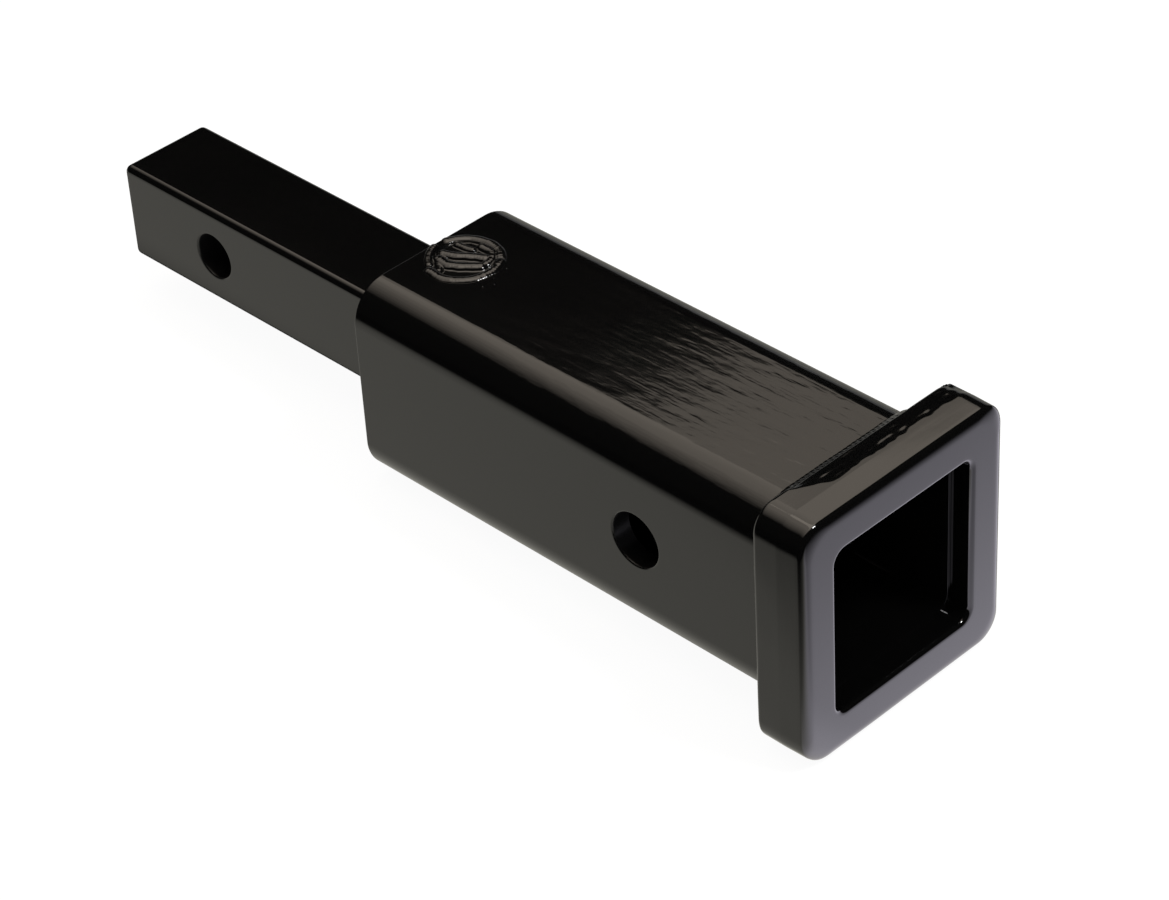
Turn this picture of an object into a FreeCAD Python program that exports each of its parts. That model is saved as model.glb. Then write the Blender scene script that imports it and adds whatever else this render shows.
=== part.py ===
import FreeCAD, Part
import math
import os

# Hitch receiver adapter: a solid 1-1/4 in square shank welded into a 2 in receiver tube.
# All sizes are in millimetres.
# The origin is where the receiver pin's axis crosses the tube's axis.
# +X runs along the tube and out of its mouth, +Y along the pin, and +Z up.

# Receiver tube: 2-1/2 in square steel tube with a 1/4 in wall, which leaves a 2 in socket.
tube_width = 63.5
tube_wall = 6.35
tube_corner_radius = 11.1
tube_length = 167.5
tube_end_chamfer = 0.7

# Pin hole across the tube, for a 5/8 in hitch pin.
receiver_pin_diameter = 16.67
receiver_pin_setback = 66.675  # from the collar's front face back to the pin's axis
pin_hole_chamfer = 0.5

# Shank: solid 1-1/4 in square bar, with a hole for a 1/2 in pin.
shank_width = 31.75
shank_corner_radius = 2.2
shank_end_radius = 1.3
shank_reach = 121.5  # bare length behind the tube
shank_pin_diameter = 14.29
shank_pin_setback = 39.5  # from the shank's end to the pin's axis

# Flat bars that pack the shank out to the tube's bore on all four sides. All four are alike, and
# each butts against the side of the next, as the blades of a pinwheel do.
packing_length = 38.1
packing_recess = 1.5  # how far the bars stand inside the tube's rear end
packing_slip = 0.1  # between the bars and the tube's bore, and between bar and bar
packing_edge_break = 0.5

# Forged collar round the tube's mouth, with a lip in front of the tube's end.
collar_border = 7.55  # how far it stands out past the tube all round
collar_depth = 17.0
collar_lip = 7.0
collar_corner_radius = 7.5
collar_front_radius = 4.0
collar_back_radius = 1.2
collar_seat_gap = 0.2
mouth_clearance = 0.6  # the lip stands back this far from the socket's walls
mouth_corner_radius = 3.6
mouth_chamfer = 0.5

# Fillet bead between the tube and the collar's back face.
collar_bead_along = 6.5
collar_bead_out = 4.0
collar_bead_crown = 0.9

# Fillet bead between the shank and the packing bars' ends.
shank_bead_along = 6.0
shank_bead_out = 5.0
shank_bead_margin = 0.6  # of bar left bare beyond the bead
shank_bead_crown = 0.8

# Plug welds through the tube's top and bottom, which hold the packing bars.
plug_setback = 12.0  # from the tube's rear end to the plug's axis
plug_hole_diameter = 18.0
rim_pass_lap = 1.15  # from the hole's rim out to the centreline of the bead laid over it
rim_bead_width = 3.1
rim_bead_height = 1.2
rim_pass_start_angle = 48.0  # degrees from +X, where the bead starts
rim_pass_sweep = 340.0
weave_run_count = 3
weave_run_length = 8.4  # of each straight run, without the turns
weave_pitch = 3.3  # from one run to the next
weave_bead_width = 3.0
weave_bead_height = 1.3
weave_angle = 32.0  # degrees from +X to the runs
bead_top_share = 0.45  # width of a bead's flat top, as a share of its foot

# Places worked out from the sizes above.
socket_width = tube_width - 2 * tube_wall
socket_corner_radius = max(tube_corner_radius - tube_wall, 0.5)
collar_front_x = receiver_pin_setback
collar_back_x = collar_front_x - collar_depth
tube_front_x = collar_front_x - collar_lip
tube_rear_x = tube_front_x - tube_length
shank_end_x = tube_rear_x - shank_reach
packing_rear_x = tube_rear_x + packing_recess
packing_front_x = packing_rear_x + packing_length
packing_thickness = (socket_width - shank_width) / 2 - packing_slip
plug_x = tube_rear_x + plug_setback

X_AXIS = FreeCAD.Vector(1, 0, 0)
Y_AXIS = FreeCAD.Vector(0, 1, 0)
Z_AXIS = FreeCAD.Vector(0, 0, 1)


def rounded_square_bar(width, corner_radius, start_x, end_x):
    """A square bar along X, centred on the axis, with its four long edges rounded."""
    half = width / 2
    flat = half - corner_radius
    bulge = flat + corner_radius * math.sqrt(0.5)
    edges = []
    for quarter in range(4):
        turn = FreeCAD.Rotation(X_AXIS, 90 * quarter)
        side_start = turn.multVec(FreeCAD.Vector(start_x, half, -flat))
        side_end = turn.multVec(FreeCAD.Vector(start_x, half, flat))
        corner_middle = turn.multVec(FreeCAD.Vector(start_x, bulge, bulge))
        corner_end = turn.multVec(FreeCAD.Vector(start_x, flat, half))
        edges.append(Part.LineSegment(side_start, side_end).toShape())
        edges.append(Part.Arc(side_end, corner_middle, corner_end).toShape())
    outline = Part.Face(Part.Wire(edges))
    return outline.extrude(X_AXIS * (end_x - start_x))


def round_end(bar, end_x, radius):
    """The bar with every edge of its end at end_x rounded."""
    end_edges = [edge for edge in bar.Edges if is_across(edge, end_x)]
    return bar.makeFillet(radius, end_edges)


def is_across(edge, x):
    """True for an edge that lies in the plane across the axis at x."""
    return all(abs(point.x - x) < 1e-6 for point in edge.discretize(3))


def cross_hole(diameter, x, depth):
    """A cylinder along Y through the axis at x, long enough to pass through depth."""
    start = FreeCAD.Vector(x, -depth, 0)
    return Part.makeCylinder(diameter / 2, 2 * depth, start, Y_AXIS)


def chamfer_hole(body, diameter, face_distance):
    """The body with the rims of its cross hole chamfered on the two outer faces."""
    rims = []
    for edge in body.Edges:
        on_face = all(abs(abs(point.y) - face_distance) < 1e-6 for point in edge.discretize(5))
        is_circle = isinstance(edge.Curve, Part.Circle)
        if on_face and is_circle and abs(edge.Curve.Radius - diameter / 2) < 1e-6:
            rims.append(edge)
    return body.makeChamfer(pin_hole_chamfer, rims)


def make_receiver_tube():
    """Square tube with a pin hole through both sides and a plug hole in its top and bottom."""
    outside = rounded_square_bar(tube_width, tube_corner_radius, tube_rear_x, tube_front_x)
    rear_edges = [edge for edge in outside.Edges if is_across(edge, tube_rear_x)]
    outside = outside.makeChamfer(tube_end_chamfer, rear_edges)
    socket = rounded_square_bar(
        socket_width, socket_corner_radius, tube_rear_x - 1, tube_front_x + 1
    )
    tube = outside.cut(socket)
    tube = tube.cut(cross_hole(receiver_pin_diameter, 0, tube_width))
    tube = chamfer_hole(tube, receiver_pin_diameter, tube_width / 2)
    plug_hole_start = FreeCAD.Vector(plug_x, 0, -tube_width)
    plug_holes = Part.makeCylinder(
        plug_hole_diameter / 2, 2 * tube_width, plug_hole_start, Z_AXIS
    )
    return tube.cut(plug_holes)


def make_shank_bar():
    """Solid square bar with one cross hole near its free end."""
    bar = rounded_square_bar(shank_width, shank_corner_radius, shank_end_x, packing_front_x)
    bar = round_end(bar, shank_end_x, shank_end_radius)
    pin_x = shank_end_x + shank_pin_setback
    bar = bar.cut(cross_hole(shank_pin_diameter, pin_x, shank_width))
    return chamfer_hole(bar, shank_pin_diameter, shank_width / 2)


def make_packing_bar(quarter):
    """One sawn flat bar beside the shank, turned about the axis by quarter turns from the top.

    Its outer corner is ground off from where the round corner of the socket begins.
    """
    outer_face = shank_width / 2 + packing_thickness
    ground_off = min(socket_corner_radius, packing_thickness / 2)
    near_edge = -shank_width / 2 + packing_slip
    far_edge = outer_face - socket_corner_radius + ground_off
    start = FreeCAD.Vector(packing_rear_x, near_edge, shank_width / 2)
    bar = Part.makeBox(packing_length, far_edge - near_edge, packing_thickness, start)
    outer_corner = [
        edge
        for edge in bar.Edges
        if edge.CenterOfMass.y > far_edge - 1e-6 and edge.CenterOfMass.z > outer_face - 1e-6
    ]
    bar = bar.makeChamfer(ground_off, outer_corner)
    bar = bar.makeChamfer(packing_edge_break, bar.Edges)
    bar.rotate(FreeCAD.Vector(0, 0, 0), X_AXIS, 90 * quarter)
    return bar


def make_mouth_collar():
    """Forged square ring that the tube's front end seats in, behind a lip."""
    collar_width = tube_width + 2 * collar_border
    ring = rounded_square_bar(collar_width, collar_corner_radius, collar_back_x, collar_front_x)
    ring = round_end(ring, collar_front_x, collar_front_radius)
    ring = round_end(ring, collar_back_x, collar_back_radius)
    seat = rounded_square_bar(
        tube_width + 2 * collar_seat_gap,
        tube_corner_radius + collar_seat_gap,
        collar_back_x - 1,
        tube_front_x,
    )
    ring = ring.cut(seat)
    mouth_width = socket_width + 2 * mouth_clearance
    mouth = rounded_square_bar(
        mouth_width, mouth_corner_radius, tube_front_x - 1, collar_front_x + 1
    )
    ring = ring.cut(mouth)
    mouth_edges = [
        edge
        for edge in ring.Edges
        if is_across(edge, collar_front_x)
        and max(abs(edge.CenterOfMass.y), abs(edge.CenterOfMass.z)) < mouth_width / 2 + 0.01
    ]
    return ring.makeChamfer(mouth_chamfer, mouth_edges)


def make_fillet_bead(bar_width, corner_radius, face_x, along, out, crown):
    """A convex weld bead round a square bar, in the corner it makes with a face behind it.

    The bead runs along the bar towards -X from the face, and out from the bar over the face.
    """
    half = bar_width / 2
    flat = half - corner_radius
    root = FreeCAD.Vector(face_x, -flat, half)
    bar_toe = root - X_AXIS * along
    face_toe = root + Z_AXIS * out
    slope = FreeCAD.Vector(-out, 0, along).normalize()
    crest = (bar_toe + face_toe) * 0.5 + slope * crown
    section = Part.Face(Part.makePolygon([root, bar_toe, crest, face_toe, root]))
    side = section.extrude(Y_AXIS * (2 * flat))
    corner = section.revolve(FreeCAD.Vector(face_x, -flat, flat), X_AXIS, 90)
    runs = []
    for quarter in range(4):
        for run in (side, corner):
            turned = run.copy()
            turned.rotate(FreeCAD.Vector(0, 0, 0), X_AXIS, 90 * quarter)
            runs.append(turned)
    return runs[0].fuse(runs[1:]).removeSplitter()


def bead_section(middle, width, height):
    """The low section of a bead that runs along Y past a point on a flat face."""
    foot = X_AXIS * (width / 2)
    shoulder = foot * bead_top_share
    rise = Z_AXIS * height
    corners = [middle - foot, middle - shoulder + rise, middle + shoulder + rise, middle + foot]
    return Part.Face(Part.makePolygon(corners + corners[:1]))


def bead_arc(centre, radius, width, height, start_angle, sweep):
    """A low bead on a flat face, bent along an arc about a vertical axis."""
    bead = bead_section(centre + X_AXIS * radius, width, height).revolve(centre, Z_AXIS, sweep)
    bead.rotate(centre, Z_AXIS, start_angle)
    return bead


def bead_end(middle, width, height):
    """The rounded end of a bead."""
    return Part.makeCone(width / 2, width / 2 * bead_top_share, height, middle)


def make_rim_pass(centre):
    """A bead laid over the rim of the plug's hole, nearly the whole way round."""
    radius = plug_hole_diameter / 2 + rim_pass_lap
    end_angle = rim_pass_start_angle + rim_pass_sweep
    arc = bead_arc(
        centre, radius, rim_bead_width, rim_bead_height, rim_pass_start_angle, rim_pass_sweep
    )
    ends = []
    for angle in (rim_pass_start_angle, end_angle):
        middle = centre + FreeCAD.Rotation(Z_AXIS, angle).multVec(X_AXIS * radius)
        ends.append(bead_end(middle, rim_bead_width, rim_bead_height))
    return [arc, *ends]


def make_weave_pass(centre):
    """A bead woven to and fro across the plug: straight runs joined by half turns at their ends."""
    size = (weave_bead_width, weave_bead_height)
    half_run = Y_AXIS * (weave_run_length / 2)
    first_x = -weave_pitch * (weave_run_count - 1) / 2
    beads = []
    for run in range(weave_run_count):
        middle = centre + X_AXIS * (first_x + weave_pitch * run)
        beads.append(bead_section(middle - half_run, *size).extrude(half_run * 2))
        if run + 1 < weave_run_count:
            # The half turns lie at the runs' far and near ends alternately.
            side = 1 if run % 2 == 0 else -1
            turn_centre = middle + X_AXIS * (weave_pitch / 2) + half_run * side
            beads.append(bead_arc(turn_centre, weave_pitch / 2, *size, 90 * (1 - side), 180))
    last_side = 1 if weave_run_count % 2 else -1
    beads.append(bead_end(centre + X_AXIS * first_x - half_run, *size))
    beads.append(bead_end(centre - X_AXIS * first_x + half_run * last_side, *size))
    for bead in beads:
        bead.rotate(centre, Z_AXIS, weave_angle - 90)
    return beads


def make_plug_weld():
    """Weld metal that fills the hole in the tube's top, with a rim pass and a woven pass on it."""
    centre = FreeCAD.Vector(plug_x, 0, tube_width / 2)
    bar_face = shank_width / 2 + packing_thickness
    hole_radius = plug_hole_diameter / 2
    plug = Part.makeCylinder(
        hole_radius, tube_width / 2 - bar_face, FreeCAD.Vector(plug_x, 0, bar_face)
    )
    return plug.fuse(make_rim_pass(centre) + make_weave_pass(centre)).removeSplitter()


def mirrored_below(body):
    """The same body on the tube's underside."""
    return body.mirror(FreeCAD.Vector(0, 0, 0), Z_AXIS)


top_plug_weld = make_plug_weld()

nodes = {
    "receiver_tube": make_receiver_tube(),
    "mouth_collar": make_mouth_collar(),
    "shank_bar": make_shank_bar(),
    "packing_bar_top": make_packing_bar(0),
    "packing_bar_near": make_packing_bar(1),
    "packing_bar_bottom": make_packing_bar(2),
    "packing_bar_far": make_packing_bar(3),
    "plug_weld_top": top_plug_weld,
    "plug_weld_bottom": mirrored_below(top_plug_weld),
    "collar_weld": make_fillet_bead(
        tube_width,
        tube_corner_radius,
        collar_back_x,
        collar_bead_along,
        collar_bead_out,
        collar_bead_crown,
    ),
    "shank_weld": make_fillet_bead(
        shank_width,
        shank_corner_radius,
        packing_rear_x,
        shank_bead_along,
        min(shank_bead_out, packing_thickness - shank_bead_margin),
        shank_bead_crown,
    ),
}

os.makedirs("parts", exist_ok=True)
for name, shape in nodes.items():
    shape.exportStep("parts/" + name + ".step")
    print(name, len(shape.Solids), shape.isValid(), round(shape.Volume, 1))
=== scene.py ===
import math

import bmesh
import bpy
from mathutils import Matrix, Vector, noise


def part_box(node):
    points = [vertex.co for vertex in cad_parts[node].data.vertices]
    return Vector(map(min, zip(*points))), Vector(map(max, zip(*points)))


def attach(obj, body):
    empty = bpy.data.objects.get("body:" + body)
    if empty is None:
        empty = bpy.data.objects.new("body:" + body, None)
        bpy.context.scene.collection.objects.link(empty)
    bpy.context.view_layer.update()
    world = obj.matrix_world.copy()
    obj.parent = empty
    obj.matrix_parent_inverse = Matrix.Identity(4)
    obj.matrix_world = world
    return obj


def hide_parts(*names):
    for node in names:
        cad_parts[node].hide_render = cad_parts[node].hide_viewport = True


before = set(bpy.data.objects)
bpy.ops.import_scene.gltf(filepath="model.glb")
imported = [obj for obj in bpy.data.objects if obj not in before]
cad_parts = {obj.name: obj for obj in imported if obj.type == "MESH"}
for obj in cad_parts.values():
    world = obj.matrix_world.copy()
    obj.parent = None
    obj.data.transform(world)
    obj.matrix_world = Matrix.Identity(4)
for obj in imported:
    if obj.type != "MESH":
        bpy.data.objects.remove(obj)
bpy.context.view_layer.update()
scene = bpy.context.scene
scene.view_settings.view_transform = "Standard"


# Camera
# A long lens stands to the right of the near side, well above the mouth, and looks down along
# the part, as the photograph was taken.
millimetre = 0.001
camera_place = Vector((541.2, -554.0, 588.5)) * millimetre
camera_aim = Vector((-38.3, -12.0, 0.0)) * millimetre
camera_roll = math.radians(-3.62)
sensor_width = 36  # millimetres, as the lens's length is
lens_length = 111.28
camera_reach = 20  # metres
camera = bpy.data.objects.new("camera", bpy.data.cameras.new("camera"))
camera.data.sensor_width = sensor_width
camera.data.lens = lens_length
camera.data.clip_end = camera_reach
look = (camera_aim - camera_place).to_track_quat("-Z", "Y").to_matrix().to_4x4()
camera.matrix_world = Matrix.Translation(camera_place) @ look @ Matrix.Rotation(camera_roll, 4, "Z")
scene.collection.objects.link(camera)
scene.camera = camera


# White table
# A sheet of matt white paper on a table. The collar's lower edge rests on it, and the plug weld
# under the tube's rear all but does, so the sheet lies at a small angle to the tube.
merge_distance = 1e-7


def linear_colour(code):
    """The linear colour, with alpha, of an sRGB hex code."""
    shares = [int(code[i : i + 2], 16) / 255 for i in (1, 3, 5)]
    return [s / 12.92 if s <= 0.04045 else ((s + 0.055) / 1.055) ** 2.4 for s in shares] + [1]


def add_node(tree, kind, settings=None, links=None):
    """A new node with its sockets or properties set, and with other nodes' outputs linked in."""
    node = tree.nodes.new(kind)
    for name, value in (settings or {}).items():
        if isinstance(name, str) and hasattr(node, name):
            setattr(node, name, value)
        else:
            node.inputs[name].default_value = value
    for name, output in (links or {}).items():
        tree.links.new(output, node.inputs[name])
    return node


def new_material(name):
    """A node material with nothing in it but its output."""
    material = bpy.data.materials.new(name)
    material.use_nodes = True
    material.node_tree.nodes.clear()
    return material, add_node(material.node_tree, "ShaderNodeOutputMaterial")


def finished(name, mesh, material):
    """An object made from a bmesh, smooth shaded and with its faces turned outwards."""
    bmesh.ops.remove_doubles(mesh, verts=mesh.verts, dist=merge_distance)
    bmesh.ops.recalc_face_normals(mesh, faces=mesh.faces)
    for face in mesh.faces:
        face.smooth = True
    data = bpy.data.meshes.new(name)
    mesh.to_mesh(data)
    mesh.free()
    data.materials.append(material)
    made = bpy.data.objects.new(name, data)
    scene.collection.objects.link(made)
    return made


table_tilt = math.radians(2.3)
table_half_width = 6.0
sheet_shadow_share = 0.06  # how much of the part's shadow the sheet shows
collar_low, collar_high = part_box("mouth_collar")
tube_low, tube_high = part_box("receiver_tube")

paper, paper_output = new_material("matt_white_paper")
tree = paper.node_tree
path = add_node(tree, "ShaderNodeLightPath")
coordinates = add_node(tree, "ShaderNodeTexCoord")
axes = add_node(tree, "ShaderNodeSeparateXYZ", links={0: coordinates.outputs["Object"]})
# For mirrored rays only, the sheet glows with painted light and painted shade, laid out as the
# studio would light it. Beside the near side the painted light is bright up to a hand's width away,
# and a little further towards the rear. Under the part lies a painted shadow, on the far side it is
# dim, and painted cool light falls on it in front of the mouth and fades along it.
near_light = 0.65
near_slant = -0.25
near_fade = (-0.155, -0.066)
painted_shadow_edge = (-0.035, -0.012)
painted_shadow_light = 0.05
far_light = 0.28
far_edge = (0.03, 0.06)
front_light = 2.1
front_side_edge = (-0.075, -0.022)
front_edge = (tube_high.x, collar_high.x + 0.004)
front_fade_length = 0.14
warm_light = "#fffcf0"
cool_light = "#f5f1ff"


def ramp(tree, value, ends, low=0.0, high=1.0):
    """Rises smoothly from low to high while a value goes from one end to the other."""
    limits = {"interpolation_type": "SMOOTHSTEP", 1: ends[0], 2: ends[1], 3: low, 4: high}
    return add_node(tree, "ShaderNodeMapRange", limits, {0: value}).outputs[0]


def product(tree, first, second):
    """Two values multiplied."""
    node = add_node(tree, "ShaderNodeMath", {"operation": "MULTIPLY"}, {0: first, 1: second})
    return node.outputs[0]


slanted = add_node(
    tree,
    "ShaderNodeMath",
    {"operation": "MULTIPLY_ADD", 1: near_slant},
    {0: axes.outputs[0], 2: axes.outputs[1]},
)
beside = product(
    tree,
    ramp(tree, slanted.outputs[0], near_fade, 0.0, near_light),
    ramp(tree, axes.outputs[1], painted_shadow_edge, 1.0, painted_shadow_light),
)
behind = product(
    tree,
    ramp(tree, axes.outputs[1], far_edge, 0.0, far_light),
    ramp(tree, axes.outputs[0], front_edge, 1.0, 0.0),
)
in_front = product(
    tree,
    ramp(tree, axes.outputs[0], front_edge),
    ramp(tree, axes.outputs[1], front_side_edge),
)
fade = add_node(
    tree,
    "ShaderNodeMath",
    {"operation": "MULTIPLY_ADD", 1: -1 / front_fade_length, 2: collar_high.x / front_fade_length},
    {0: axes.outputs[0]},
)
fade = add_node(tree, "ShaderNodeMath", {"operation": "EXPONENT"}, {0: fade.outputs[0]})
front = product(tree, in_front, fade.outputs[0])
strength = add_node(
    tree, "ShaderNodeMath", {"operation": "MULTIPLY_ADD", 1: front_light}, {0: front, 2: beside}
)
strength = add_node(
    tree, "ShaderNodeMath", {"operation": "ADD"}, {0: strength.outputs[0], 1: behind}
)
tint = add_node(
    tree,
    "ShaderNodeMix",
    {"data_type": "RGBA", 6: linear_colour(warm_light), 7: linear_colour(cool_light)},
    {0: in_front},
)
# The painted light and painted shade, shown only to mirrored rays.
painted_mirror_light = add_node(
    tree, "ShaderNodeEmission", links={"Color": tint.outputs[2], "Strength": strength.outputs[0]}
)
# The camera sees it white, with a faint shadow of the part on it.
seen = add_node(
    tree,
    "ShaderNodeEmission",
    {"Color": linear_colour("#ffffff"), "Strength": 1 - sheet_shadow_share},
)
matt = add_node(tree, "ShaderNodeBsdfDiffuse", {"Color": (*[sheet_shadow_share] * 3, 1)})
both = add_node(tree, "ShaderNodeAddShader", links={0: matt.outputs[0], 1: seen.outputs[0]})
sheet = add_node(
    tree,
    "ShaderNodeMixShader",
    links={0: path.outputs["Is Glossy Ray"], 1: both.outputs[0], 2: painted_mirror_light.outputs[0]},
)
tree.links.new(sheet.outputs[0], paper_output.inputs[0])

table_mesh = bmesh.new()
bmesh.ops.create_grid(table_mesh, x_segments=1, y_segments=1, size=table_half_width)
lean = Matrix.Rotation(table_tilt, 3, "Y")
bmesh.ops.rotate(table_mesh, verts=table_mesh.verts, matrix=lean)
bmesh.ops.translate(table_mesh, verts=table_mesh.verts, vec=(collar_low.x, 0, collar_low.z))
table = finished("table", table_mesh, paper)


# Studio
# A dark room with a large soft box overhead, turned to face the camera, a bright bulb above the
# mouth and a pale wall behind. Shiny paint mirrors them; the camera sees white.
even_strength = 0.85
dark_strength = 0.01
white_strength = 1.0
room = bpy.data.worlds.new("studio")
scene.world = room
room.use_nodes = True
tree = room.node_tree
tree.nodes.clear()
path = add_node(tree, "ShaderNodeLightPath")
even_light = add_node(
    tree, "ShaderNodeBackground", {"Color": linear_colour("#ffffff"), "Strength": even_strength}
)
dark_room = add_node(
    tree, "ShaderNodeBackground", {"Color": linear_colour("#fff8f0"), "Strength": dark_strength}
)
white = add_node(
    tree, "ShaderNodeBackground", {"Color": linear_colour("#ffffff"), "Strength": white_strength}
)
lit = add_node(
    tree,
    "ShaderNodeMixShader",
    links={0: path.outputs["Is Glossy Ray"], 1: even_light.outputs[0], 2: dark_room.outputs[0]},
)
shown = add_node(
    tree,
    "ShaderNodeMixShader",
    links={0: path.outputs["Is Camera Ray"], 1: lit.outputs[0], 2: white.outputs[0]},
)
add_node(tree, "ShaderNodeOutputWorld", links={0: shown.outputs[0]})


def lamp(name, place, facing, width, length, radiance, colour, turn=0.0):
    """A rectangular lamp of even brightness that faces along a direction."""
    light = bpy.data.lights.new(name, "AREA")
    light.shape = "RECTANGLE"
    light.size = width
    light.size_y = length
    # With this power a lamp of this area has the named radiance over its whole face.
    light.energy = radiance * math.pi * width * length
    light.color = linear_colour(colour)[:3]
    made = bpy.data.objects.new(name, light)
    aimed = Vector(facing).to_track_quat("-Z", "Y").to_matrix().to_4x4()
    made.matrix_world = (
        Matrix.Translation(Vector(place)) @ aimed @ Matrix.Rotation(turn, 4, "Z")
    )
    made.visible_camera = False
    scene.collection.objects.link(made)


box_height = 1.2
box_turn = math.radians(45)
box_colour = "#fff2e2"


def overhead(name, left, right, near, far, lift, radiance):
    """A soft box above the part, with its sides given as distances across and along the view."""
    across, along = (left + right) / 2, (near + far) / 2
    place = Vector((across - along, across + along, 0)) / math.sqrt(2)
    place.z = tube_high.z + box_height + lift
    lamp(name, place, (0, 0, -1), right - left, far - near, radiance, box_colour, box_turn)


# Six sheets of light, one above the other, make a box that grows brighter from its left side. The
# upper ones end nearer, and a last and brighter one makes the box's middle.
box_right = 0.36
box_near = -0.36
box_lefts = [-1.24 + 0.13 * step for step in range(6)]
box_fars = [1.78] * 4 + [1.50] * 2
box_radiance = 0.28
sheet_lift = 0.01  # between one sheet and the next
for step, (left, far) in enumerate(zip(box_lefts, box_fars)):
    name = f"soft_box_{step}"
    overhead(name, left, box_right, box_near, far, sheet_lift * step, box_radiance)
middle_sides = (-0.336, 0.28, 0.0, 0.78)
middle_radiance = 1.4
overhead("soft_box_middle", *middle_sides, sheet_lift * len(box_lefts), middle_radiance)

bulb_direction = Vector((0.484, 0.217, 0.848))
bulb_distance = 1.3
bulb_size = 0.26
bulb_radiance = 60.0
bulb_place = bulb_direction * bulb_distance
lamp("bulb", bulb_place, -bulb_direction, bulb_size, bulb_size, bulb_radiance, "#ffffff")

# The pale wall stands far behind the part, where its far edges mirror it.
wall_direction = Vector((-0.6, 0.8, 0))
wall_distance = 2.2
wall_length = 2.0
wall_height = 0.5
wall_lift = Vector((0, 0, 0.15))  # of its middle
wall_radiance = 0.25
lamp(
    "pale_wall",
    wall_direction * wall_distance + wall_lift,
    -wall_direction,
    wall_length,
    wall_height,
    wall_radiance,
    "#ffffff",
)

# A black card hangs under the box's far end. Its front edge is square to the tube, so that the lit
# stretch on the tube's top begins square to it too. Its matt black mirrors nothing.
card_edge = Vector((-1.18, 1.0))
card_half_width = 0.6
card_drop = 0.01  # below the box
card_paint, card_output = new_material("matt_black_card")
black = add_node(card_paint.node_tree, "ShaderNodeBsdfDiffuse", {"Color": linear_colour("#0a0a0a")})
card_paint.node_tree.links.new(black.outputs[0], card_output.inputs[0])
card_mesh = bmesh.new()
bmesh.ops.create_grid(card_mesh, x_segments=1, y_segments=1, size=card_half_width)
card_place = (
    card_edge.x - card_half_width,
    card_edge.y + card_half_width,
    tube_high.z + box_height - card_drop,
)
bmesh.ops.translate(card_mesh, verts=card_mesh.verts, vec=card_place)
card = finished("black_card", card_mesh, card_paint)
card.visible_camera = False


# Receiver tube
# Square steel tube, rolled and welded, sawn to length, drilled for the pin and for the plug welds,
# and coated with gloss black powder. The coat still shows the draw marks along the tube's top.
hole_facets = 96
rim_steps = 5
bit_length = 0.1


def rounded_square(mesh, x, half, radius, corner_steps, side_cuts=0):
    """The edges of a rounded square across the tube's axis at x."""
    square = bmesh.ops.create_grid(mesh, x_segments=1, y_segments=1, size=half)["verts"]
    others = set(mesh.edges) - set(square[0].link_faces[0].edges)
    bmesh.ops.bevel(
        mesh,
        geom=square,
        offset=radius,
        segments=corner_steps,
        profile=0.5,
        affect="VERTICES",
        material=-1,
    )
    edges = [edge for edge in mesh.edges if edge not in others]
    faces = list({face for edge in edges for face in edge.link_faces})
    bmesh.ops.delete(mesh, geom=faces, context="FACES_ONLY")
    if side_cuts:
        nearly_flat = 0.99 * 2 * (half - radius)
        sides = [edge for edge in edges if edge.calc_length() > nearly_flat]
        bmesh.ops.subdivide_edges(mesh, edges=sides, cuts=side_cuts)
        edges = [edge for edge in mesh.edges if edge not in others]
    points = list({vert for edge in edges for vert in edge.verts})
    across = Matrix(((0, 0, 1, x), (1, 0, 0, 0), (0, 1, 0, 0), (0, 0, 0, 1)))
    bmesh.ops.transform(mesh, matrix=across, verts=points)
    return edges


def loft(mesh, stations, corner_steps, side_cuts=0, closed=False):
    """Skin over rounded squares, each given by its place x, half width and corner radius."""
    rings = [rounded_square(mesh, *station, corner_steps, side_cuts) for station in stations]
    next_rings = rings[1:] + rings[:1] if closed else rings[1:]
    for ring, next_ring in zip(rings, next_rings):
        bmesh.ops.bridge_loops(mesh, edges=ring + next_ring)
    return rings


def modified(body, kind, **settings):
    """Gives an object the shape that one modifier makes of it."""
    modifier = body.modifiers.new("shape", kind)
    for name, value in settings.items():
        setattr(modifier, name, value)
    depsgraph = bpy.context.evaluated_depsgraph_get()
    shaped = bpy.data.meshes.new_from_object(body.evaluated_get(depsgraph))
    body.modifiers.clear()
    body.data = shaped


def drill(body, diameter, place, axis, paint):
    """Drills a hole right through an object along the axis Y or Z, and paints its wall."""
    bit = bmesh.new()
    turn = Matrix.Rotation(math.radians(90), 4, "X") if axis == "Y" else Matrix()
    bmesh.ops.create_cone(
        bit,
        cap_ends=True,
        segments=hole_facets,
        radius1=diameter / 2,
        radius2=diameter / 2,
        depth=bit_length,
        matrix=Matrix.Translation(place) @ turn,
    )
    tool = finished("drill", bit, paint)
    modified(
        body,
        "BOOLEAN",
        operation="DIFFERENCE",
        solver="EXACT",
        material_mode="TRANSFER",
        object=tool,
    )
    bpy.data.objects.remove(tool)


def round_rims(body, diameter, x, half, offset):
    """Rounds the rims of a cross hole where it meets the two outer faces."""
    mesh = bmesh.new()
    mesh.from_mesh(body.data)
    face_tolerance = 1e-6
    rim_tolerance = 2e-5
    rims = []
    for edge in mesh.edges:
        ends = [vert.co for vert in edge.verts]
        off_face = max(abs(abs(end.y) - half) for end in ends)
        off_rim = max(abs(math.hypot(end.x - x, end.z) - diameter / 2) for end in ends)
        if off_face < face_tolerance and off_rim < rim_tolerance:
            rims.append(edge)
    bmesh.ops.bevel(
        mesh,
        geom=rims,
        offset=offset,
        segments=rim_steps,
        profile=0.5,
        affect="EDGES",
        material=-1,
    )
    for face in mesh.faces:
        face.smooth = True
    mesh.to_mesh(body.data)
    mesh.free()


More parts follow.
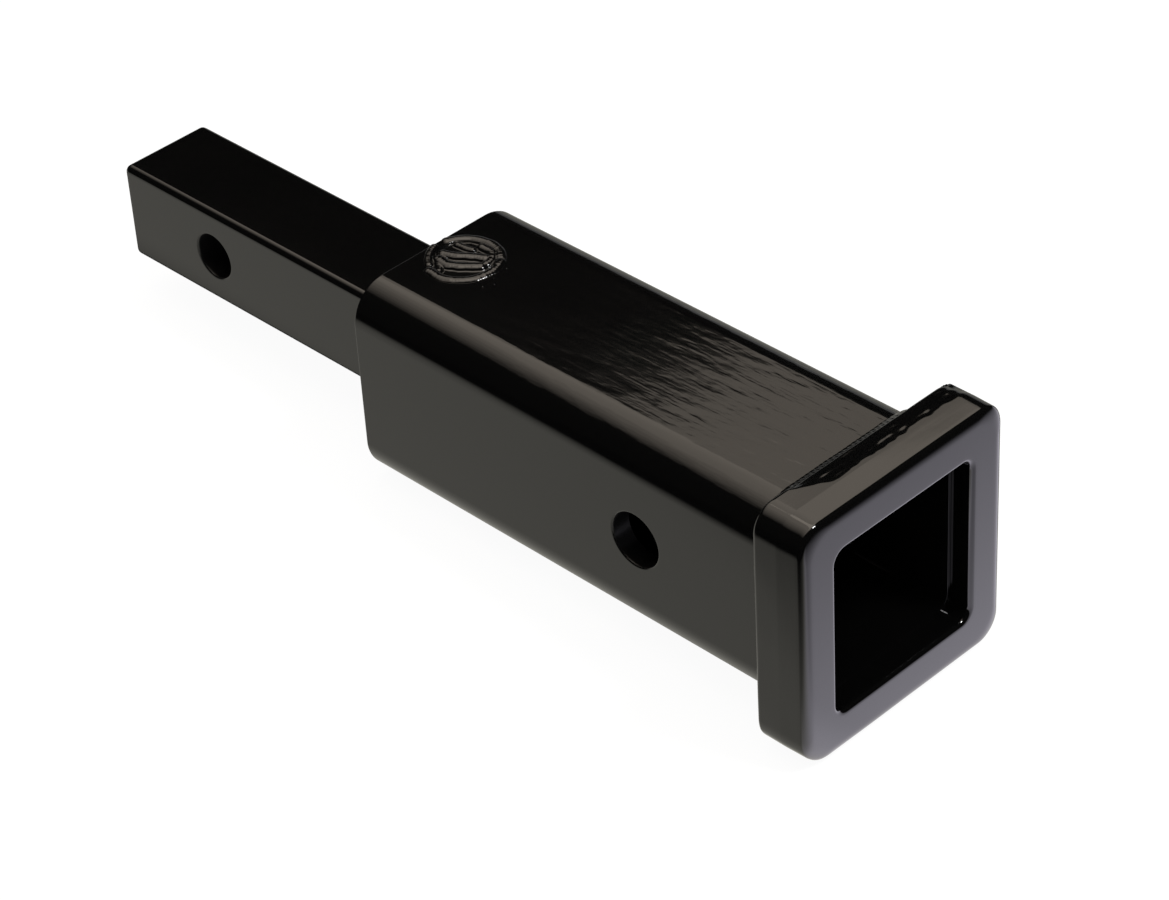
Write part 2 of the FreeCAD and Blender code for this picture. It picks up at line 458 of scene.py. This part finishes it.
def keep_flats_flat(body, sharp_angle=35):
    """Takes the corner normals from the large faces, so that flat sides mirror as flats."""
    body.data.set_sharp_from_angle(angle=math.radians(sharp_angle))
    weighted = body.modifiers.new("flat_sides", "WEIGHTED_NORMAL")
    weighted.mode = "FACE_AREA"
    weighted.weight = 100
    weighted.keep_sharp = True


def gloss_black(name, roughness, peel_height, marks=(), marks_edges=()):
    """Gloss black powder coat: a deep black resin with a clear, slightly wavy skin.

    marks gives the height of the marks that the steel's own surface leaves in the coat, and their
    width along X, Y and Z. marks_edges gives axes and the stretches over which the marks begin.
    """
    material, output = new_material(name)
    tree = material.node_tree
    place = add_node(tree, "ShaderNodeTexCoord").outputs["Object"]
    peel_width = 0.0042  # orange peel, with a finer grain in it
    peel = add_node(
        tree,
        "ShaderNodeTexNoise",
        {"Scale": 1 / peel_width, "Detail": 2.0, "Roughness": 0.4},
        {"Vector": place},
    )
    height = add_node(
        tree, "ShaderNodeMath", {"operation": "MULTIPLY", 1: peel_height}, {0: peel.outputs[0]}
    )
    axes = add_node(tree, "ShaderNodeSeparateXYZ", links={0: place})
    for mark_height, widths in marks:
        stretched = add_node(
            tree, "ShaderNodeMapping", {"Scale": [1 / width for width in widths]}, {"Vector": place}
        )
        mark = add_node(
            tree,
            "ShaderNodeTexNoise",
            {"Scale": 1.0, "Detail": 2.0, "Roughness": 0.5},
            {"Vector": stretched.outputs[0]},
        )
        shown_mark = mark.outputs[0]
        for axis, stretch in marks_edges:
            shown_mark = product(tree, shown_mark, ramp(tree, axes.outputs[axis], stretch))
        height = add_node(
            tree,
            "ShaderNodeMath",
            {"operation": "MULTIPLY_ADD", 1: mark_height},
            {0: shown_mark, 2: height.outputs[0]},
        )
    bump = add_node(
        tree, "ShaderNodeBump", {"Strength": 1.0, "Distance": 1.0}, {"Height": height.outputs[0]}
    )
    # The sheen varies a little over a few centimetres, as the coat's thickness does.
    haze_width = 0.03
    haze_range = (0.3, 0.7)
    sheen_range = (roughness * 0.85, roughness * 1.15)
    haze = add_node(
        tree, "ShaderNodeTexNoise", {"Scale": 1 / haze_width, "Detail": 3.0}, {"Vector": place}
    )
    rough = add_node(
        tree,
        "ShaderNodeMapRange",
        {1: haze_range[0], 2: haze_range[1], 3: sheen_range[0], 4: sheen_range[1]},
        {0: haze.outputs[0]},
    )
    paint = add_node(
        tree,
        "ShaderNodeBsdfPrincipled",
        {"Base Color": linear_colour("#040404"), "IOR": 1.5},
        {"Roughness": rough.outputs[0], "Normal": bump.outputs[0]},
    )
    tree.links.new(paint.outputs[0], output.inputs[0])
    return material


tube_half = tube_high.z
tube_wall = 0.00635
socket_half = tube_half - tube_wall
tube_corner_radius = 0.0118
socket_corner_radius = 0.00475
tube_corner_steps = 16
tube_end_chamfer = 0.0007
chamfer_break = 0.0002
bore_break = 0.0003
saw_draft = 0.00005  # no end is cut quite square
socket_edge_break = 0.0001
mouth_corner = socket_corner_radius + socket_edge_break
receiver_pin_diameter = 0.01667
receiver_pin_rim = 0.0007
plug_diameter = 0.018
plug_setback = 0.012
plug_x = tube_low.x + plug_setback
# Draw marks are long ridges and shorter, deeper ones, 2 or 3 mm wide. They fade out towards the
# tube's rear and down its sides.
long_ridges = (0.00003, (0.03, 0.0022, 0.0022))
short_ridges = (0.000065, (0.011, 0.0026, 0.0026))
marks_rear = (-0.095, -0.035)
marks_bottom = (0.020, 0.030)
drawn_paint = gloss_black(
    "gloss_black_powder_coat_on_drawn_tube",
    roughness=0.08,
    peel_height=0.0000045,
    marks=[long_ridges, short_ridges],
    marks_edges=[(0, marks_rear), (2, marks_bottom)],
)

tube_mesh = bmesh.new()
loft(
    tube_mesh,
    [
        (tube_low.x, tube_half - tube_end_chamfer, tube_corner_radius - tube_end_chamfer),
        (tube_low.x + chamfer_break, tube_half - chamfer_break, tube_corner_radius - chamfer_break),
        (tube_low.x + tube_end_chamfer, tube_half, tube_corner_radius),
        (tube_high.x, tube_half, tube_corner_radius),
        (tube_high.x - saw_draft, socket_half + socket_edge_break, mouth_corner),
        (tube_high.x - socket_edge_break, socket_half, socket_corner_radius),
        (tube_low.x + bore_break, socket_half, socket_corner_radius),
        (tube_low.x + saw_draft, socket_half + bore_break, socket_corner_radius),
    ],
    tube_corner_steps,
    closed=True,
)
tube = finished("receiver_tube_coated", tube_mesh, drawn_paint)
# Inside the holes the powder lies thin and grainy, and hardly shines.
thin_paint = gloss_black("thin_black_powder_coat_in_holes", roughness=0.42, peel_height=0.000012)
drill(tube, receiver_pin_diameter, (0, 0, 0), "Y", thin_paint)
drill(tube, plug_diameter, (plug_x, 0, 0), "Z", thin_paint)
round_rims(tube, receiver_pin_diameter, 0, tube_half, receiver_pin_rim)
keep_flats_flat(tube)
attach(tube, "root")
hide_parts("receiver_tube")


# Shank bar
# Solid square bar that goes into the small receiver. Its end is ground round at the edges, its
# pin hole is drilled and deburred, and it carries the same coat as the tube.
shank_low, shank_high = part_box("shank_bar")
shank_half = shank_high.z
shank_corner_radius = 0.0022
shank_end_radius = 0.0020
shank_corner_steps = 8
shank_pin_diameter = 0.01429
shank_pin_setback = 0.0395
shank_pin_x = shank_low.x + shank_pin_setback
shank_pin_rim = 0.0008
end_steps = 6
# The bar is smooth, so its coat shows only its own orange peel.
bar_paint = gloss_black(
    "gloss_black_powder_coat_on_square_bar", roughness=0.08, peel_height=0.000005
)

shank_mesh = bmesh.new()
stations = []
for step in range(end_steps + 1):
    angle = math.radians(90 * step / end_steps)
    inset = shank_end_radius * (1 - math.sin(angle))
    x = shank_low.x + shank_end_radius * (1 - math.cos(angle))
    stations.append((x, shank_half - inset, shank_corner_radius - inset))
stations.append((shank_high.x, shank_half, shank_corner_radius))
rings = loft(shank_mesh, stations, shank_corner_steps)
for ring in (rings[0], rings[-1]):
    bmesh.ops.contextual_create(shank_mesh, geom=ring)
shank = finished("shank_bar_coated", shank_mesh, bar_paint)
drill(shank, shank_pin_diameter, (shank_pin_x, 0, 0), "Y", thin_paint)
round_rims(shank, shank_pin_diameter, shank_pin_x, shank_half, shank_pin_rim)
keep_flats_flat(shank)
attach(shank, "root")
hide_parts("shank_bar")


# Packing bars
# Four sawn flat bars that pack the shank out to the socket's walls. They lie deep in the tube,
# where the powder reaches as thinly as it does in the holes.
for side in ("top", "near", "bottom", "far"):
    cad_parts["packing_bar_" + side].material_slots[0].material = thin_paint


# Mouth collar
# Forged square ring round the tube's mouth. It narrows a little towards its front, its front edges
# are round, and along the top its rear edge slopes where the weld behind it drew it down.
collar_half = collar_high.z
collar_corner_radius = 0.0075
collar_draft = math.tan(math.radians(2))  # the forging narrows towards its front
front_edge_depth = 0.0019
front_edge_height = 0.0034
face_corner_radius = 0.0082
face_rings = 8
collar_back_radius = 0.0012
collar_corner_steps = 14
collar_side_cuts = 96
collar_sharp_angle = 50
lip_steps = 8
front_steps = 9
side_steps = 6
slope_steps = 24
back_steps = 5
seat_gap = 0.0002
seat_half = tube_half + seat_gap
mouth_clearance = 0.0010
mouth_half = socket_half + mouth_clearance
mouth_corner_radius = 0.0036
mouth_lip_radius = 0.0016
mouth_straight_end = 3 * mouth_lip_radius  # behind the front face
face_setback = 0.00005
forging_unevenness = 0.00005
forging_grain = (0.010, 0.014, 0.014)
slope_width = 0.0072
slope_drop = 0.0007
slope_ends = (-0.027, -0.015)  # it begins along this stretch and runs on to the far corner
slope_flare = 0.7
slope_waves = [(0.14, 0.010, 3.1), (0.08, 0.0025, 7.7)]  # share of the width, length, noise row
slope_roughness = 0.00009
slope_grain = (0.0016, 0.006)
slope_noise_row = 5.5
slope_fade = 4  # how fast the roughness dies out where the slope runs into the top
ground_corner = 0.0288  # the lower near corner is rounder, from this far out
ground_share = 0.11
# The forging's surface is a little uneven from front to back, in ridges about 3 mm wide.
forging_ridges = (0.000012, (0.003, 0.02, 0.02))
forged_paint = gloss_black(
    "gloss_black_powder_coat_on_forging",
    roughness=0.08,
    peel_height=0.000005,
    marks=[forging_ridges],
)

collar_mesh = bmesh.new()
stations = [
    (tube_high.x + saw_draft, mouth_half, mouth_corner_radius),
    (collar_high.x - mouth_straight_end, mouth_half, mouth_corner_radius),
]
for step in range(lip_steps + 1):
    angle = math.radians(90 * step / lip_steps)
    rise = mouth_lip_radius * (1 - math.cos(angle))
    x = collar_high.x - face_setback - mouth_lip_radius * (1 - math.sin(angle))
    stations.append((x, mouth_half + rise, mouth_corner_radius + rise))
draft_start = collar_low.x + slope_width + collar_back_radius
round_start = collar_high.x - face_setback - front_edge_depth
front_half = collar_half - collar_draft * (round_start - draft_start)
front_corner_radius = collar_corner_radius - (collar_half - front_half)
face_half = front_half - front_edge_height
lip_half = mouth_half + mouth_lip_radius
lip_corner_radius = mouth_corner_radius + mouth_lip_radius
for step in range(1, face_rings):
    share = step / face_rings
    half = lip_half + (face_half - lip_half) * share
    radius = lip_corner_radius + (face_corner_radius - lip_corner_radius) * share
    # These rings are flattened into the face once they are skinned.
    stations.append((collar_high.x + saw_draft * step, half, radius))
for step in range(front_steps + 1):
    angle = math.radians(90 * step / front_steps)
    share = math.sin(angle)
    half = face_half + front_edge_height * share
    radius = face_corner_radius + (front_corner_radius - face_corner_radius) * share
    stations.append((round_start + front_edge_depth * math.cos(angle), half, radius))
for step in range(1, side_steps + 1):
    share = step / side_steps
    x = round_start + (draft_start - round_start) * share
    shrink = (collar_half - front_half) * (1 - share)
    stations.append((x, collar_half - shrink, collar_corner_radius - shrink))
slope_run = draft_start - collar_low.x - collar_back_radius
for step in range(1, slope_steps):
    x = draft_start - slope_run * step / slope_steps
    stations.append((x, collar_half, collar_corner_radius))
for step in range(back_steps + 1):
    angle = math.radians(90 * step / back_steps)
    shrink = collar_back_radius * (1 - math.cos(angle))
    x = collar_low.x + collar_back_radius * (1 - math.sin(angle))
    stations.append((x, collar_half - shrink, collar_corner_radius - shrink))
stations.append((collar_low.x + saw_draft, seat_half, tube_corner_radius + seat_gap))
stations.append((tube_high.x, seat_half, tube_corner_radius + seat_gap))
loft(collar_mesh, stations, collar_corner_steps, collar_side_cuts, closed=True)

for vert in collar_mesh.verts:
    x, y, z = vert.co
    outwards = max(abs(y), abs(z))
    vert.co.x = min(x, collar_high.x - face_setback)
    beyond = Vector((min(y + ground_corner, 0), min(z + ground_corner, 0)))
    if beyond.x < 0 and beyond.y < 0:
        diagonal = 2 * beyond.x * beyond.y / beyond.length_squared
        beyond *= 1 - ground_share * diagonal**2
        y, z = beyond.x - ground_corner, beyond.y - ground_corner
        vert.co.y, vert.co.z = y, z
    if outwards < face_half:
        continue
    grain = Vector([place / size for place, size in zip((x, y, z), forging_grain)])
    drop = forging_unevenness * (1 + noise.noise(grain))
    if z > front_half - collar_back_radius and z > abs(y):
        begun = min(max((y - slope_ends[0]) / (slope_ends[1] - slope_ends[0]), 0), 1)
        wave = 0
        for share, length, row in slope_waves:
            wave = wave + share * noise.noise(Vector((y / length, row, 0)))
        width = slope_width * begun**slope_flare * (1 + wave)
        if x - collar_low.x < width:
            down = 1 - (x - collar_low.x) / width
            grain = Vector((x / slope_grain[0], y / slope_grain[1], slope_noise_row))
            rough = slope_roughness * noise.noise(grain)
            drop = drop + slope_drop * down + rough * min(slope_fade * down, 1)
    vert.co.y = y * (1 - drop / outwards)
    vert.co.z = z * (1 - drop / outwards)
collar = finished("mouth_collar_coated", collar_mesh, forged_paint)
keep_flats_flat(collar, collar_sharp_angle)
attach(collar, "root")
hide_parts("mouth_collar")


# Collar weld and shank weld
# Fillet beads laid by hand, round the tube behind the collar and round the shank where it enters
# the tube. Each shows the ripples of the weld pool, one every millimetre or two.
bead_steps = 12
bead_corner_steps = 40
bead_cut = 0.0003  # the length of the mesh's faces along a bead
bead_fullness = 0.8
rippled_part = (0.04, 0.98)  # of a bead's height
ripple_depth = 0.00016
valley_share = 1.2  # of that depth, between one ripple and the next
ripple_bow = 1.6
ripple_push = 0.5
toe_share = 0.2  # at the toe the ripples are this shallow, and they grow from there
toe_growth = 6
pool_unevenness = 0.6
pool_grain = 0.004


def distance_round(y, z, flat, radius):
    """How far round a rounded square a point lies, from the middle of its +Y side."""
    held_y = max(-flat, min(flat, y))
    held_z = max(-flat, min(flat, z))
    angle = math.atan2(z - held_z, y - held_y) % math.tau
    quarter = round(angle / (math.pi / 2))
    along_sides = (held_z, -held_y, -held_z, held_y)[quarter % 4]
    corner = radius * angle
    return 2 * flat * quarter + along_sides + corner


def fillet_bead(name, half, radius, face_x, along, out, crown, ripple_pitch, material):
    """A convex bead round a bar, in the corner that the bar makes with a face in front of it."""
    bead = bmesh.new()
    stations = []
    for step in range(bead_steps + 1):
        share = step / bead_steps
        swell = crown * math.sin(math.pi * share) ** bead_fullness
        lean_x, lean_out = out / math.hypot(along, out), along / math.hypot(along, out)
        x = face_x - along * (1 - share) - swell * lean_x
        grow = out * share + swell * lean_out
        stations.append((x, half + grow, radius + grow))
    stations.append((face_x - saw_draft, half + seat_gap, radius))
    side = 2 * (half - radius)
    loft(bead, stations, bead_corner_steps, round(side / bead_cut), closed=True)
    flat = half - radius
    for vert in bead.verts:
        x, y, z = vert.co
        outwards = max(abs(y), abs(z))
        share = (outwards - half) / out
        # The bead's root and its edge on the face in front of it stay where they are.
        if not rippled_part[0] < share < rippled_part[1] and x > face_x - millimetre:
            continue
        bow = (share - 0.5) ** 2 * ripple_bow
        turns = distance_round(y, z, flat, radius) / ripple_pitch + bow
        ripple = abs(math.sin(math.pi * turns))
        ripple = ripple + pool_unevenness * noise.noise(vert.co / pool_grain)
        grown = min(share * toe_growth + toe_share, 1)
        depth = ripple_depth * (valley_share - ripple) * grown
        vert.co.y = y * (1 - depth / outwards)
        vert.co.z = z * (1 - depth / outwards)
        vert.co.x = x + depth * ripple_push
    made = finished(name + "_rippled", bead, material)
    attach(made, "root")
    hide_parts(name)


# Over the ripples of a weld the coat is a little less glossy.
weld_paint = gloss_black("gloss_black_powder_coat_on_weld", roughness=0.10, peel_height=0.000004)
collar_bead_along = 0.0065
collar_bead_out = 0.004
collar_bead_crown = 0.0009
collar_ripple_pitch = 0.0018
shank_bead_along = 0.006
shank_bead_out = 0.005
shank_bead_crown = 0.0008
shank_ripple_pitch = 0.0015
packing_rear_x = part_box("packing_bar_top")[0].x
fillet_bead(
    "collar_weld",
    tube_half,
    tube_corner_radius,
    collar_low.x,
    collar_bead_along,
    collar_bead_out,
    collar_bead_crown,
    collar_ripple_pitch,
    weld_paint,
)
fillet_bead(
    "shank_weld",
    shank_half,
    shank_corner_radius,
    packing_rear_x,
    shank_bead_along,
    shank_bead_out,
    shank_bead_crown,
    shank_ripple_pitch,
    weld_paint,
)


# Plug welds
# Weld metal poured through a hole in the tube's top, and in its bottom, down to the packing bar.
# Short beads go round the rim, and three strokes and a hook fill the middle; all stand proud.
plug_low, plug_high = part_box("plug_weld_top")
plug_strokes = [
    # half width, height above the tube, and points from the plug's middle, in millimetres
    (1.76, 0.62, [(-10.2, 3.6), (-8.4, 6.6), (-5.0, 9.4), (0.0, 10.7), (4.4, 9.8), (7.6, 7.4)]),
    (0.98, 0.33, [(0.5, 11.3), (5.2, 10.4), (8.9, 7.4), (10.6, 4.6)]),
    (1.89, 0.72, [(9.0, 5.8), (10.6, 1.8), (10.0, -3.6), (7.2, -7.8), (2.4, -10.4), (-2.8, -10.2)]),
    (1.26, 0.52, [(10.4, 1.2), (11.0, -1.8)]),
    (1.40, 0.49, [(-10.9, -0.8), (-9.8, -3.4), (-7.8, -6.0), (-5.4, -8.0)]),
    (1.82, 0.62, [(-6.4, -1.4), (-3.0, 0.0), (1.0, 2.8), (4.2, 4.6)]),
    (1.96, 0.66, [(-5.4, -4.2), (-2.0, -4.6), (1.0, -3.4), (4.0, -1.2), (6.2, 0.8)]),
    (1.61, 0.59, [(-0.4, 8.0), (3.6, 7.8), (6.4, 4.6), (6.4, 1.0)]),
    (1.26, 0.39, [(-6.6, 4.4), (-4.0, 4.6), (-1.6, 5.2)]),
    (1.68, 0.20, [(-3.6, -5.6), (-1.6, -8.2)]),
]
plug_floor = 0.0005  # how far the middle lies under the tube's face
drop_step = 0.00085  # from one drop of metal to the next
width_change = (0.14, 0.0021)  # share of a stroke's width, and the length over which it varies
height_change = (0.12, 0.0013)
skin_grid = 0.00016
spatter_length = 0.1
# Each drop of spatter: its place from the plug's middle, and its half width, in millimetres.
spatter = [(14.4, -6.2, 0.35), (15.6, -3.0, 0.28), (13.6, -1.2, 0.22), (12.8, 4.6, 0.25)]


def curve_through(points):
    """Closely spaced points on a smooth curve through the given points."""
    ends = [points[0] * 2 - points[1], *points, points[-1] * 2 - points[-2]]
    path = []
    for before, start, end, after in zip(ends, ends[1:], ends[2:], ends[3:]):
        count = max(round((end - start).length / drop_step), 1)
        for step in range(count):
            t = step / count
            rise = (end - before) * t + (before * 2 - start * 5 + end * 4 - after) * t**2
            rise = rise + (start * 3 - before - end * 3 + after) * t**3
            path.append(start + rise / 2)
    return path + [points[-1]]


def lay_bead(mesh, half_width, height, points):
    """Lays drops of metal side by side along a path, each a little ahead of the last."""
    for middle in curve_through([Vector((x, y, 0)) * millimetre for x, y in points]):
        wider = width_change[0] * noise.noise(middle / width_change[1])
        taller = height_change[0] * noise.noise(middle / height_change[1])
        wide = half_width * millimetre * (1 + wider)
        tall = height * millimetre * (1 + taller)
        middle = middle + Vector((plug_x, 0, tube_half - plug_floor))
        scale = Matrix.Diagonal((wide, wide, tall + plug_floor, 1))
        bmesh.ops.create_icosphere(
            mesh, subdivisions=3, radius=1, matrix=Matrix.Translation(middle) @ scale
        )


def plug_mesh():
    """The plug and the drops of its beads, on top of the tube."""
    mesh = bmesh.new()
    depth = tube_half - plug_floor - plug_low.z
    bmesh.ops.create_cone(
        mesh,
        cap_ends=True,
        segments=hole_facets,
        radius1=plug_diameter / 2,
        radius2=plug_diameter / 2,
        depth=depth,
        matrix=Matrix.Translation((plug_x, 0, plug_low.z + depth / 2)),
    )
    for half_width, height, points in plug_strokes:
        lay_bead(mesh, half_width, height, points)
    for x, y, size in spatter:
        lay_bead(mesh, size, size, [(x, y), (x + spatter_length, y)])
    return mesh


for side, name in ((1, "plug_weld_top"), (-1, "plug_weld_bottom")):
    plug = finished(name + "_beads", plug_mesh(), weld_paint)
    # The plug and its drops become one skin.
    modified(plug, "REMESH", mode="VOXEL", voxel_size=skin_grid, use_smooth_shade=True)
    modified(plug, "SMOOTH", factor=0.5, iterations=3)
    shaped = bmesh.new()
    shaped.from_mesh(plug.data)
    for vert in shaped.verts:
        vert.co.z = min(vert.co.z, plug_high.z) * side
    if side < 0:
        bmesh.ops.reverse_faces(shaped, faces=shaped.faces)
    for face in shaped.faces:
        face.smooth = True
    shaped.to_mesh(plug.data)
    shaped.free()
    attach(plug, "root")
    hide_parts(name)
